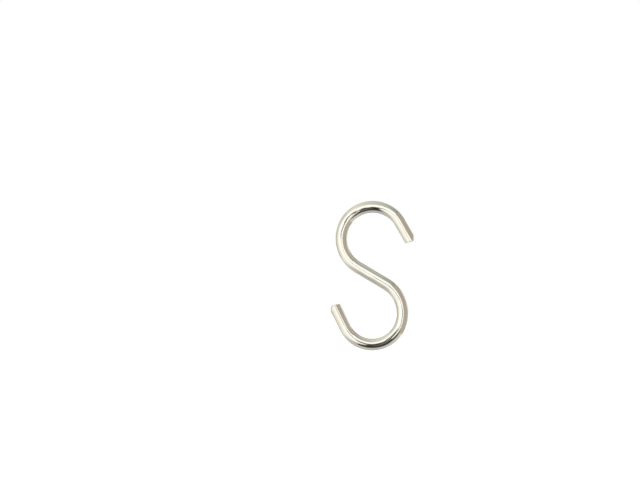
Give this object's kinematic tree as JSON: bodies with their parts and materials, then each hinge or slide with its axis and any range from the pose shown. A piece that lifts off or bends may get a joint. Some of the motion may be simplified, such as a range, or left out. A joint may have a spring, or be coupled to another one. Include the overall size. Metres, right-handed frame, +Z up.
{
  "type": "seat cover hook",
  "caption": "S-shaped hook bent from bright plated round wire: the upper loop hangs on a rail and the lower loop carries a cover or a utensil.",
  "frame": {"origin": "crest of the upper loop's inside, where it bears on the rail", "axes": "+Z up as the hook hangs, +Y along the rail and square to the plane that the wire is bent in, +X towards the side on which the upper loop opens"},
  "size_m": [0.0356, 0.005, 0.0636],
  "materials": {
    "nickel_wire": "bright nickel plate on drawn steel wire, faintly warm, with fine draw marks along the wire and satin sheared ends"
  },
  "bodies": {
    "root": {"hook": "nickel_wire"}
  },
  "joints": []
}
